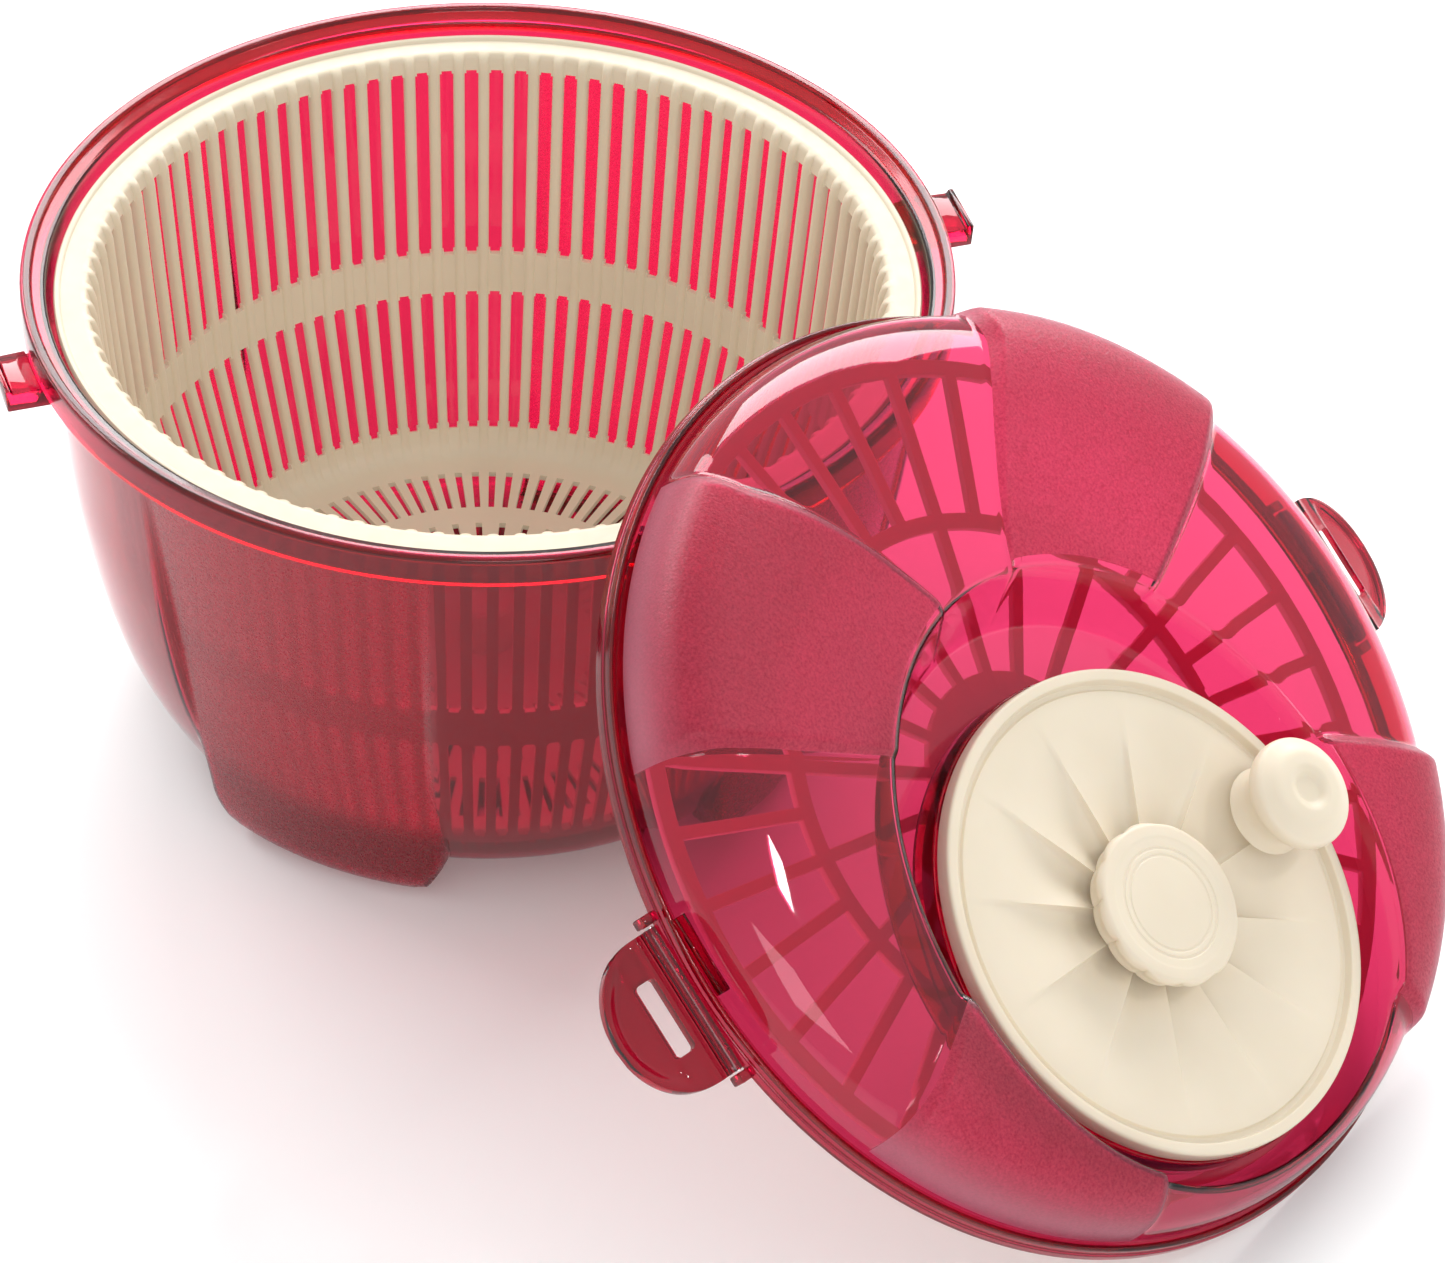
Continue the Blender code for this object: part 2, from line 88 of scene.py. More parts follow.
class Nodes:
    """Short ways to add nodes to one material. Places are in the piece's own metres."""

    def __init__(self, name):
        self.material = bpy.data.materials.new(name)
        self.material.use_nodes = True
        self.tree = self.material.node_tree
        self.shader = self.tree.nodes["Principled BSDF"]
        self.place = self.add("ShaderNodeTexCoord").outputs["Object"]

    def add(self, kind, **values):
        node = self.tree.nodes.new(kind)
        for key, value in values.items():
            if hasattr(node, key):
                setattr(node, key, value)
            else:
                node.inputs[key.replace("_", " ")].default_value = value
        return node

    def link(self, source, target):
        self.tree.links.new(source, target)

    def noise(self, scale, detail=2.0, roughness=0.5):
        """A value about 0.5 that varies from place to place, scale times a metre."""
        node = self.add("ShaderNodeTexNoise", Scale=scale, Detail=detail, Roughness=roughness)
        self.link(self.place, node.inputs["Vector"])
        return node.outputs["Fac"]

    def spread(self, source, low, high, start=0.3, stop=0.7):
        """Maps start..stop of a value to low..high, and holds it there outside."""
        node = self.add("ShaderNodeMapRange")
        for key, value in (("From Min", start), ("From Max", stop), ("To Min", low), ("To Max", high)):
            node.inputs[key].default_value = value
        self.link(source, node.inputs["Value"])
        return node.outputs["Result"]

    def blend(self, source, first, second, start=0.3, stop=0.7):
        """A colour that goes from the first to the second as a value goes from start to stop."""
        node = self.add("ShaderNodeMix", data_type="RGBA")
        self.link(self.spread(source, 0.0, 1.0, start, stop), node.inputs[0])
        node.inputs[6].default_value = (*first, 1)
        node.inputs[7].default_value = (*second, 1)
        return node.outputs[2]

    def bump(self, source, strength, distance, under=None):
        node = self.add("ShaderNodeBump", Strength=strength, Distance=distance)
        self.link(source, node.inputs["Height"])
        if under is not None:
            self.link(under, node.inputs["Normal"])
        return node.outputs["Normal"]

    def along(self, direction):
        """How far each point lies along a direction, in metres."""
        node = self.add("ShaderNodeVectorMath", operation="DOT_PRODUCT")
        self.link(self.place, node.inputs[0])
        node.inputs[1].default_value = direction
        return node.outputs["Value"]

    def larger(self, first, second):
        node = self.add("ShaderNodeMath", operation="MAXIMUM")
        self.link(first, node.inputs[0])
        self.link(second, node.inputs[1])
        return node.outputs[0]

    def set(self, **values):
        """Sets the shader's plain values."""
        for key, value in values.items():
            self.shader.inputs[key.replace("_", " ")].default_value = value

    def feed(self, socket, source):
        """Joins a node's output to one of the shader's inputs."""
        self.link(source, self.shader.inputs[socket])


def clear_plastic(name, first, second, rough):
    """Glossy tinted plastic with faint flow marks from moulding."""
    m = Nodes(name)
    m.set(Transmission_Weight=1.0, IOR=1.46)
    m.feed("Base Color", m.blend(m.noise(14, 3), first, second))
    m.feed("Roughness", m.spread(m.noise(60, 4), rough * 0.5, rough * 1.5))
    m.feed("Normal", m.bump(m.noise(35, 2), 0.025, 0.001))
    return m.material


def frosted_plastic(name, first, second, painted_sheen, rough, clear, depth, shoulder=None):
    """The same plastic with a fine grain etched in its face, as strong as depth says.

    A painted sheen makes it paler where it is seen at a shallow angle, and on the shoulder, given as
    a direction with the heights along it between which the painted sheen fades.
    """
    m = Nodes(name)
    m.set(Transmission_Weight=clear, IOR=1.46)
    grain = m.blend(m.noise(1100, 2, 0.6), first, second)
    # Painted sheen: the colour is mixed towards a paler one where the face is seen at a shallow angle, and
    # low on the shoulder. This stands in for reflected light.
    slant = m.add("ShaderNodeLayerWeight", Blend=0.35)
    mix = m.add("ShaderNodeMix", data_type="RGBA")
    pale = m.spread(slant.outputs["Facing"], 0.0, 0.7, 0.45, 0.95)
    if shoulder is not None:
        direction, low, high = shoulder
        pale = m.larger(pale, m.spread(m.along(direction), 0.6, 0.0, low, high))
    m.link(pale, mix.inputs[0])
    m.link(grain, mix.inputs[6])
    mix.inputs[7].default_value = (*painted_sheen, 1)
    m.feed("Base Color", mix.outputs[2])
    m.feed("Roughness", m.spread(m.noise(900, 2), rough - 0.08, rough + 0.08))
    fine = m.bump(m.noise(1300, 3, 0.6), depth, 0.0003)
    m.feed("Normal", m.bump(m.noise(420, 2), depth * 0.4, 0.0003, fine))
    return m.material


def opaque_plastic(name, first, second, rough, glow=0.15, painted_glow=0.0):
    """Moulded opaque plastic: satin, slightly mottled, with light passing a little way in.

    The last value sets a painted glow in the plastic's own colour that lightens its shadows,
    standing in for light that comes through the tinted plastic round it.
    """
    m = Nodes(name)
    m.set(Subsurface_Weight=glow, Subsurface_Scale=0.003, IOR=1.46)
    m.set(Subsurface_Radius=(1.0, 0.55, 0.25))
    # Painted glow: emission in the plastic's own colour lightens its shade.
    m.set(Emission_Color=(*first, 1), Emission_Strength=painted_glow)
    m.feed("Base Color", m.blend(m.noise(45, 4), first, second))
    m.feed("Roughness", m.spread(m.noise(240, 3), rough - 0.06, rough + 0.06))
    fine = m.bump(m.noise(1800, 2), 0.12, 0.0001)
    m.feed("Normal", m.bump(m.noise(60, 2), 0.08, 0.0004, fine))
    return m.material


def steel(name, shade, rough):
    """Plain drawn steel with faint streaks."""
    m = Nodes(name)
    m.set(Metallic=1.0)
    m.feed("Base Color", m.blend(m.noise(300, 3), shade, tuple(c * 0.86 for c in shade)))
    m.feed("Roughness", m.spread(m.noise(500, 4), rough - 0.08, rough + 0.1))
    m.feed("Normal", m.bump(m.noise(900, 2), 0.1, 0.0001))
    return m.material


CLEAR = clear_plastic("tinted_clear", (0.69, 0.042, 0.140), (0.66, 0.037, 0.128), 0.03)
CLEAR_BOWL = clear_plastic("tinted_clear_bowl", (0.50, 0.012, 0.052), (0.47, 0.010, 0.046), 0.05)
CLEAR_RIM = clear_plastic("tinted_rim", (0.54, 0.012, 0.062), (0.51, 0.010, 0.055), 0.10)
CLEAR_THICK = clear_plastic("tinted_thick", (0.38, 0.002, 0.022), (0.35, 0.002, 0.019), 0.04)
# The third colour of each frosted plastic is the paler colour of its painted sheen.
FROST_LID = frosted_plastic(
    "tinted_frost_lid", (0.52, 0.006, 0.055), (0.82, 0.045, 0.155), (0.68, 0.28, 0.40), 0.40, 0.78, 0.6,
    (LID_UP, LID_LEVEL + 0.012, LID_LEVEL + 0.026),
)
FROST_BOWL = frosted_plastic(
    "tinted_frost_bowl", (0.60, 0.008, 0.050), (0.64, 0.012, 0.060), (0.55, 0.06, 0.15), 0.24, 0.92, 0.15
)
# Each cream's last value is a painted glow that lightens its shade. cream_plate is also paler than the
# basket's cream, to lighten the shade under the lid's dome.
CREAM = opaque_plastic("cream", (0.56, 0.49, 0.37), (0.53, 0.46, 0.34), 0.42, 0.15, 0.28)
CREAM_DISC = opaque_plastic("cream_disc", (0.785, 0.695, 0.55), (0.755, 0.665, 0.52), 0.45)
CREAM_PLATE = opaque_plastic("cream_plate", (0.88, 0.80, 0.66), (0.85, 0.77, 0.62), 0.42, 0.15, 0.22)
STEEL = steel("steel", (0.62, 0.62, 0.64), 0.3)


# Slots of the shells' materials.
CLEAR_MARK, FROST_MARK, RIM_MARK = 0, 1, 2
# The angles in degrees past which an edge is a corner, on the tinted pieces and on the cream ones.
CRISP, SOFT = 35, 40


# ---------------------------------------------------------------- mesh helpers

def rounded(corners, steps=4, loop=False):
    """A line through corners (across, up, rounding) in mm, with each corner rounded."""
    count = len(corners)
    line = []
    for index, (x, y, size) in enumerate(corners):
        here = np.array((x, y), float)
        if size == 0 or (not loop and index in (0, count - 1)):
            line.append(here)
            continue
        back = np.array(corners[index - 1][:2], float) - here
        ahead = np.array(corners[(index + 1) % count][:2], float) - here
        reach = min(size, 0.48 * np.linalg.norm(back), 0.48 * np.linalg.norm(ahead))
        first = here + back / np.linalg.norm(back) * reach
        last = here + ahead / np.linalg.norm(ahead) * reach
        for step in range(steps + 1):
            t = step / steps
            line.append((1 - t) ** 2 * first + 2 * t * (1 - t) * here + t**2 * last)
    return np.array(line)


def smooth_line(points, per=8):
    """A smooth line through points, with extra points between each pair."""
    p = np.array(points, float)
    p = np.vstack([2 * p[0] - p[1], p, 2 * p[-1] - p[-2]])
    made = []
    for i in range(1, len(p) - 2):
        a, b, c, d = p[i - 1], p[i], p[i + 1], p[i + 2]
        for step in range(per):
            t = step / per
            square = (2 * a - 5 * b + 4 * c - d) * t**2
            cube = (3 * b - a - 3 * c + d) * t**3
            made.append(0.5 * (2 * b + (c - a) * t + square + cube))
    made.append(p[-2])
    return np.array(made)


def ramp(value, start, stop):
    """0 before start, 1 after stop, smooth between."""
    t = np.clip((value - start) / (stop - start), 0, 1)
    return t * t * (3 - 2 * t)


def round_points(radius, angle, height):
    """Points from cylinder measures, each of which may be one value for many points."""
    radius, angle, height = np.broadcast_arrays(radius, angle, height)
    return np.stack([radius * np.cos(angle), radius * np.sin(angle), height], -1)


def grid_faces(rows, columns, start=0, keep=None, flip=False, wrap=True):
    """Quads of a grid whose columns close round, and the (row, column) of each."""
    faces, cells = [], []
    for row in range(rows - 1):
        for column in range(columns if wrap else columns - 1):
            if keep is not None and not keep[row, column]:
                continue
            after = (column + 1) % columns
            a, b = start + row * columns + column, start + (row + 1) * columns + column
            c, d = start + (row + 1) * columns + after, start + row * columns + after
            faces.append((a, d, c, b) if flip else (a, b, c, d))
            cells.append((row, column))
    return faces, cells


def wall_faces(keep, columns, second):
    """Quads between two copies of a grid along every edge where kept cells meet open ones."""
    faces = []
    rows = keep.shape[0]
    for row in range(rows):
        for column in np.flatnonzero(keep[row]):
            after = (column + 1) % columns
            a, b = row * columns + column, (row + 1) * columns + column
            c, d = (row + 1) * columns + after, row * columns + after
            if not keep[row, (column - 1) % columns]:
                faces.append((a, a + second, b + second, b))
            if not keep[row, (column + 1) % columns]:
                faces.append((c, c + second, d + second, d))
            if row == 0 or not keep[row - 1, column]:
                faces.append((d, d + second, a + second, a))
            if row == rows - 1 or not keep[row + 1, column]:
                faces.append((b, b + second, c + second, c))
    return faces


def double_grid(upper, lower, keep):
    """Points and faces of a plate between two grids, with walls round its open cells."""
    rows, columns = upper.shape[:2]
    count = rows * columns
    faces = grid_faces(rows, columns, 0, keep)[0]
    faces += grid_faces(rows, columns, count, keep, flip=True)[0]
    faces += wall_faces(keep, columns, count)
    points = np.concatenate([upper.reshape(-1, 3), lower.reshape(-1, 3)])
    used = np.unique(np.array(faces))
    renumber = np.full(len(points), -1)
    renumber[used] = np.arange(len(used))
    return points[used], [tuple(int(renumber[i]) for i in face) for face in faces]


def make_mesh(name, points, faces, marks=None):
    """A welded mesh from points in mm. marks gives each face's material slot."""
    mesh = bpy.data.meshes.new(name)
    mesh.from_pydata((np.asarray(points, float).reshape(-1, 3) * MM).tolist(), [], faces)
    if marks is not None:
        mesh.polygons.foreach_set("material_index", np.asarray(marks, np.int32))
    bm = bmesh.new()
    bm.from_mesh(mesh)
    bmesh.ops.remove_doubles(bm, verts=bm.verts, dist=WELD)
    bmesh.ops.recalc_face_normals(bm, faces=bm.faces)
    bm.to_mesh(mesh)
    bm.free()
    return mesh


def finish_mesh(item, sharp=38):
    """Applies the modifiers and sets smooth shading with crisp corners."""
    bpy.context.view_layer.update()
    graph = bpy.context.evaluated_depsgraph_get()
    mesh = bpy.data.meshes.new_from_object(item.evaluated_get(graph))
    item.modifiers.clear()
    item.data = mesh
    mesh.shade_smooth()
    mesh.set_sharp_from_angle(angle=math.radians(sharp))


def add_piece(name, mesh, place, body, materials, replaces=(), sharp=38, wall=0.0, bevel=0.0, cut=()):
    """Places a mesh as one piece of a body. wall is in mm, and goes inwards where it is below 0."""
    item = bpy.data.objects.new(name, mesh)
    bpy.context.scene.collection.objects.link(item)
    for material in materials:
        mesh.materials.append(material)
    mesh.transform(place)
    if wall:
        shell = item.modifiers.new("wall", "SOLIDIFY")
        shell.thickness = abs(wall) * MM
        shell.offset = math.copysign(1.0, wall)
        shell.use_quality_normals = True
    for index, cutter in enumerate(cut):
        step = item.modifiers.new(f"cut_{index}", "BOOLEAN")
        step.operation = "DIFFERENCE"
        step.solver = "EXACT"
        step.object = cutter
    if bevel:
        edge = item.modifiers.new("edges", "BEVEL")
        edge.width = bevel * MM
        edge.segments = 2
        edge.limit_method = "ANGLE"
        edge.angle_limit = math.radians(50)
    finish_mesh(item, sharp)
    for cutter in cut:
        bpy.data.objects.remove(cutter)
    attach(item, body)
    if replaces:
        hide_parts(*replaces)
    return item


def turned(profile, steps=96, wave=None):
    """Points and faces of a solid of revolution.

    wave(angle, radius, height) may shift each point's (radius, height).
    """
    angles = np.arange(steps) * TAU / steps
    radius, height = profile[:, :1], profile[:, 1:2]
    radius = np.repeat(radius, steps, 1)
    height = np.repeat(height, steps, 1)
    if wave:
        radius, height = wave(angles[None, :], radius, height)
    points = round_points(radius, angles[None, :], height)
    return points, grid_faces(len(profile), steps)[0]


def turned_piece(
    name, corners, place, body, material, replaces=(), steps=96, sharp=38, wave=None, loop=False
):
    """One piece turned from corners (radius, height, rounding) in mm, which join up where loop is true."""
    profile = rounded(corners, loop=loop)
    if loop:
        profile = np.vstack([profile, profile[:1]])
    points, faces = turned(profile, steps, wave)
    mesh = make_mesh(name, points, faces)
    return add_piece(name, mesh, place, body, [material], replaces, sharp)


def cutter_box(name, low, high, place, round_by=0.0):
    """A box between two corners in mm, with its upright edges rounded."""
    bm = bmesh.new()
    bmesh.ops.create_cube(bm, size=1.0)
    low, high = np.array(low) * MM, np.array(high) * MM
    for vert in bm.verts:
        vert.co = Vector(low + (high - low) * (np.array(vert.co) + 0.5))
    if round_by:
        edges = [e for e in bm.edges if abs((e.verts[0].co - e.verts[1].co).normalized().z) > 0.9]
        bmesh.ops.bevel(bm, geom=edges, offset=round_by * MM, segments=5, profile=0.5, affect="EDGES")
    mesh = bpy.data.meshes.new(name)
    bm.to_mesh(mesh)
    bm.free()
    item = bpy.data.objects.new(name, mesh)
    bpy.context.scene.collection.objects.link(item)
    item.matrix_world = place
    return item


# ---------------------------------------------------------------- bowl

# Half the width of a frosted panel, in degrees. The lines are (radius, height) in mm, from the rim down.
PANEL_EDGE = 20.6
BOWL_WALL = 2.2
BOWL_FLOOR = 10.2
BOWL_LIP_LINE = (
    (139.95, 150.5, 0), (139.95, 160.0, 1.4), (136.9, 160.0, 0.5), (136.3, 158.3, 0.5),
    (132.4, 157.7, 1.2), (130.4, 147.0, 0),
)
BOWL_SIDE_LINE = (
    (130.4, 147), (127.3, 120), (123.8, 90), (117.9, 60), (110.6, 36.5), (101.3, 18), (95.6, 12.3),
    (89, BOWL_FLOOR), (84, BOWL_FLOOR), (78, BOWL_FLOOR),
)
BOWL_PANEL_LINE = (
    (130.4, 147), (125.8, 120), (120.8, 90), (115.8, 60), (111.6, 36.5), (107.4, 14.6), (103.8, 5.6),
    (98, 2.95), (87.5, 3.0), (84, BOWL_FLOOR),
)


def quarter_columns(edge):
    """The directions of a shell's columns, and how far each is from its panel's middle, in degrees.

    They stand close together where a panel ends, and are the same in all quarters.
    """
    inner = np.linspace(-(edge - 2.5), edge - 2.5, 21)
    step = np.linspace(edge - 2.5, edge + 3.5, 15)[1:]
    outer = np.linspace(edge + 3.5, 45, 12)[1:-1]
    offsets = np.concatenate([[-45], -outer[::-1], -step[::-1], inner, step, outer])
    middles = 45 + 90 * np.arange(4)
    angles = (middles[:, None] + offsets[None, :]).ravel()
    return np.radians(angles), np.tile(np.abs(offsets), 4)


def make_lug(name, turn):
    """One of the two lugs under the lip that the latches hook over."""
    outline = (
        (132.9, 144.8), (150.4, 144.8), (151.0, 152.0), (149.4, 152.2), (148.6, 150.9),
        (140.2, 151.3), (140.2, 150.2), (132.9, 150.2),
    )
    points = [(x, y, z) for y in (-10.0, 10.0) for x, z in outline]
    count = len(outline)
    faces = [tuple(range(count)), tuple(range(2 * count - 1, count - 1, -1))]
    faces += [(i, count + i, count + (i + 1) % count, (i + 1) % count) for i in range(count)]
    mesh = make_mesh(name, points, faces)
    place = BOWL @ Matrix.Rotation(turn, 4, "Z")
    add_piece(name, mesh, place, "bowl", [CLEAR_THICK], (), CRISP, 0, 0.5)


def make_bowl():
    """The bowl as one shell: lip, clear side, and a frosted foot panel in each quarter."""
    lip = rounded(BOWL_LIP_LINE)
    side = np.vstack([lip[:-1], smooth_line(BOWL_SIDE_LINE, 7)])
    panel = np.vstack([lip[:-1], smooth_line(BOWL_PANEL_LINE, 7)])
    angles, offsets = quarter_columns(PANEL_EDGE)
    below = ramp(panel[:, 1], 16, 2)[:, None]
    edge = PANEL_EDGE - 2.2 * below
    share = 1 - ramp(offsets[None, :], edge - 0.9, edge + 1.5)
    radius = side[:, :1] * (1 - share) + panel[:, :1] * share
    height = side[:, 1:] * (1 - share) + panel[:, 1:] * share
    floor = np.array((70.0, 50.0, 25.0, 8.0, 0.0))[:, None]
    radius = np.vstack([radius, np.repeat(floor, len(angles), 1)])
    height = np.vstack([height, np.full((len(floor), len(angles)), BOWL_FLOOR)])
    points = round_points(radius, angles[None, :], height)
    faces, cells = grid_faces(len(radius), len(angles))
    marks = []
    for row, column in cells:
        if row < len(lip) - 1:
            marks.append(RIM_MARK)
        elif offsets[column] < PANEL_EDGE + 0.4 and row < len(side) - 1:
            marks.append(FROST_MARK)
        else:
            marks.append(CLEAR_MARK)
    mesh = make_mesh("bowl_shell", points, faces, marks)
    looks = [CLEAR_BOWL, FROST_BOWL, CLEAR_RIM]
    add_piece("bowl_shell", mesh, BOWL, "bowl", looks, ("bowl",), CRISP, -BOWL_WALL)
    make_lug("bowl_lug_a", 0)
    make_lug("bowl_lug_b", math.pi)


# ---------------------------------------------------------------- basket

SLOTS = 96
# The part of each pitch that a slot takes. The rest is a rib.
SLOT_SHARE = 0.56
SOLID, SLOT, SLOT_END, FLOOR_SLOT, SHORT_FLOOR_SLOT = range(5)
# Rows of the basket from its rim to the middle of its floor, in mm: radius and height of the face that
# holds the leaves, radius and height of the face behind it, how far each rib's rounded face stands out,
# and what lies between the row and the next.
BASKET_ROWS = (
    (129.9, 151.9, 128.0, 151.7, 0, SOLID),
    (130.0, 153.6, 128.0, 152.0, 0, SOLID),
    (129.6, 154.2, 127.8, 152.0, 0, SOLID),
    (129.0, 154.3, 127.4, 152.0, 0, SOLID),
    (128.2, 154.0, 127.0, 152.0, 0, SOLID),
    (127.8, 153.3, 126.6, 152.0, 0, SOLID),
    (127.2, 153.2, 126.2, 152.0, 0, SOLID),
    (122.0, 153.9, 122.2, 152.2, 0, SOLID),
    (120.6, 153.7, 121.6, 152.2, 0.0, SOLID),
    (119.9, 153.1, 121.4, 152.0, 0.9, SOLID),
    (119.6, 152.2, 121.3, 151.4, 1.4, SOLID),
    (119.2, 150.9, 121.1, 150.8, 1.5, SOLID),
    (118.6, 148.6, 120.5, 148.6, 1.5, SLOT_END),
    (118.5, 147.6, 120.4, 147.6, 1.5, SLOT),
    (115.5, 116.0, 117.3, 116.0, 1.4, SLOT),
    (112.2, 83.6, 114.0, 83.6, 1.3, SLOT_END),
    (112.0, 82.2, 113.8, 82.2, 1.3, SOLID),
    (110.6, 68.6, 112.4, 68.6, 1.2, SLOT_END),
    (110.3, 67.6, 112.1, 67.6, 1.2, SLOT),
    (104.0, 45.0, 105.9, 44.6, 1.1, SLOT),
    (98.4, 25.0, 100.2, 24.6, 1.0, SLOT_END),
    (97.9, 23.8, 99.7, 22.8, 0.8, SOLID),
    (96.4, 20.6, 97.9, 19.4, 0.5, SOLID),
    (93.6, 17.6, 94.8, 16.0, 0.2, SOLID),
    (90.0, 16.4, 90.6, 14.6, 0, SOLID),
    (84.0, 16.4, 84.0, 14.6, 0, FLOOR_SLOT),
    (66.0, 16.4, 66.0, 14.6, 0, SOLID),
    (58.0, 16.4, 58.0, 14.6, 0, SHORT_FLOOR_SLOT),
    (34.0, 16.4, 34.0, 14.6, 0, SOLID),
    (24.0, 17.0, 24.0, 15.2, 0, SOLID),
    (14.0, 18.6, 14.0, 16.8, 0, SOLID),
    (9.4, 18.8, 9.4, 16.9, 0, SOLID),
    (8.7, 18.0, 8.7, 16.9, 0, SOLID),
)


def make_basket():
    """The basket as a plate between two grids, open where its slots are."""
    pitch = TAU / SLOTS
    in_slot = (0, 0.07, 0.2, 0.36, 0.49, SLOT_SHARE)
    in_rib = (0.6, 0.66, 0.72, 0.78, 0.84, 0.90, 0.96)
    shares = np.array(in_slot + in_rib)
    per = len(shares)
    angles = (pitch * (np.arange(SLOTS)[:, None] + shares[None, :])).ravel()
    across = np.tile((shares - (SLOT_SHARE + 1) / 2) / ((1 - SLOT_SHARE) / 2), SLOTS)
    bead = np.sqrt(np.clip(1 - across**2, 0, 1))
    front_radius, front_height, back_radius, back_height, stand_out = np.array(BASKET_ROWS).T[:5, :, None]
    top = round_points(front_radius - stand_out * bead[None, :], angles[None, :], front_height)
    low = round_points(back_radius, angles[None, :], back_height)
    keep = np.ones((len(BASKET_ROWS) - 1, len(angles)), bool)
    column_share = np.tile(np.arange(per), SLOTS)
    slot_index = np.repeat(np.arange(SLOTS), per)
    open_all = column_share < 5
    open_mid = (column_share >= 1) & (column_share < 4)
    for row, listed in enumerate(BASKET_ROWS[:-1]):
        kind = listed[5]
        if kind == SLOT:
            keep[row] = ~open_all
        elif kind in (SLOT_END, FLOOR_SLOT):
            keep[row] = ~open_mid
        elif kind == SHORT_FLOOR_SLOT:
            keep[row] = ~(open_all & (slot_index % 2 == 0))
    mesh = make_mesh("basket_body", *double_grid(top, low, keep))
    add_piece("basket_body", mesh, BOWL, "basket", [CREAM], ("basket",), SOFT)


# ---------------------------------------------------------------- lid

# Half the width of a frosted petal, in degrees. The lines are (radius, height) in mm, from the skirt in.
PETAL_EDGE = 18.6
LID_WALL = 1.8
AXLE_HOLE = 8.6
SKIRT_LINE = (
    (143.5, -4.2, 0), (143.5, -1.2, 0.6), (142.8, -0.7, 0.4), (142.8, 2.3, 0.9), (141.4, 2.3, 0.4),
    (141.0, 1.6, 0.4), (140.2, 1.7, 0),
)
DOME_LINE = (
    (140.2, 1.7), (139.2, 10), (135.9, 18.3), (127, 25.4), (110, 29), (90, 29), (70, 28), (45, 27.6),
    (20, 27.6),
)
PETAL_LINE = (
    (140.2, 1.7), (139.9, 12.5), (137.3, 23), (129, 29.4), (112, 32.4), (90, 32), (70, 29.8),
    (45, 28.6), (20, 28.5),
)
WELL_FLOOR = 6.5
# The well is an oval about a place this far from the lid's axis, with these half sizes at its top and foot.
WELL_CENTRE = 45
WELL_TOP = (84, 100)
WELL_FOOT = (80.5, 88)
# The farthest the well's top and foot may reach from the lid's axis.
TOP_LIMIT = 138.5
FOOT_LIMIT = 160


def oval_reach(angle, half_sizes, limit):
    """Distance in mm from the lid's axis to the well's oval, kept inside a limit."""
    half_x, half_y = half_sizes
    c, s = np.cos(angle), np.sin(angle)
    a = (c / half_x) ** 2 + (s / half_y) ** 2
    b = -s * WELL_CENTRE / half_y**2
    reach = (-b + np.sqrt(b * b - a * ((WELL_CENTRE / half_y) ** 2 - 1))) / a
    return (reach**-12.0 + limit**-12.0) ** (-1 / 12)


def cut_line(line, radius, rows):
    """The part of a line from its start to where it reaches a radius, as evenly spaced points."""
    length = np.concatenate([[0], np.cumsum(np.linalg.norm(np.diff(line, axis=0), axis=1))])
    stop = np.interp(-radius, -line[:, 0], length)
    at = np.linspace(0, stop, rows)
    return np.stack([np.interp(at, length, line[:, 0]), np.interp(at, length, line[:, 1])], -1)


def bend(a, corner, b, steps):
    """A curve from a to b that leaves and arrives in line with a corner."""
    t = np.linspace(0, 1, steps + 1)[:, None]
    return (1 - t) ** 2 * a + 2 * t * (1 - t) * corner + t**2 * b


def petal_angle(angle, offset, radius):
    """Direction of a lid column at a radius in mm. The petals spread towards the lid's middle."""
    middle = round((math.degrees(angle) - 45) / 90) * 90 + 45
    inward = np.clip((125 - radius) / 65, 0, 1)
    side = math.copysign(1, math.degrees(angle) - middle)
    back = math.sin(math.radians(middle)) < 0 and side * math.cos(math.radians(middle)) < 0
    spread = 10 if back else 3
    near = offset / 18 if offset <= 18 else (45 - offset) / 27
    return angle + side * np.radians(spread * inward * near)


def lid_column(angle, offset, dome, petal):
    """One line of the lid's shell from the skirt to the middle of the well, and its row at the crest."""
    edge = float(oval_reach(angle - CRANK_TURN, WELL_TOP, TOP_LIMIT))
    inner = float(petal_angle(angle, offset, edge))
    edge = float(oval_reach(inner - CRANK_TURN, WELL_TOP, TOP_LIMIT))
    foot = float(oval_reach(inner - CRANK_TURN, WELL_FOOT, FOOT_LIMIT))
    share = 1 - float(ramp(offset, PETAL_EDGE - 1.6, PETAL_EDGE + 1.2))
    top = cut_line(dome, edge, 34) * (1 - share) + cut_line(petal, edge, 34) * share
    crest, before = top[-1], top[-3]
    base = np.array((foot - 1.2, WELL_FLOOR))
    down = (base - crest) / np.linalg.norm(base - crest)
    first = bend(before, crest, crest + down * 2.6, 5)
    wall_stop = base - down * 3.0
    wall = np.linspace(first[-1], wall_stop, 5)[1:-1]
    last = bend(wall_stop, base, np.array((base[0] - 3.0, WELL_FLOOR)), 5)
    start = base[0] - 3.0
    shares = (0.08, 0.25, 0.5, 0.75, 0.92, 1.0)
    floor = [(start + (AXLE_HOLE - start) * part, WELL_FLOOR) for part in shares]
    line = np.vstack([top[:-3], first, wall, last, floor])
    turns = petal_angle(angle, offset, np.maximum(line[:, 0], edge))
    return np.column_stack([line[:, 0], turns, line[:, 1]]), len(top) - 3


def lid_bar(name, near, far, across, heights, material, bevel):
    """A small bar moulded on the lid, between two distances along the lid's X axis, in mm."""
    x, y = sorted((near, far)), sorted(across)
    box = cutter_box(name, (x[0], y[0], heights[0]), (x[1], y[1], heights[1]), LID)
    mesh = box.data
    bpy.data.objects.remove(box)
    add_piece(name, mesh, LID, "lid", [material], (), CRISP, 0, bevel)


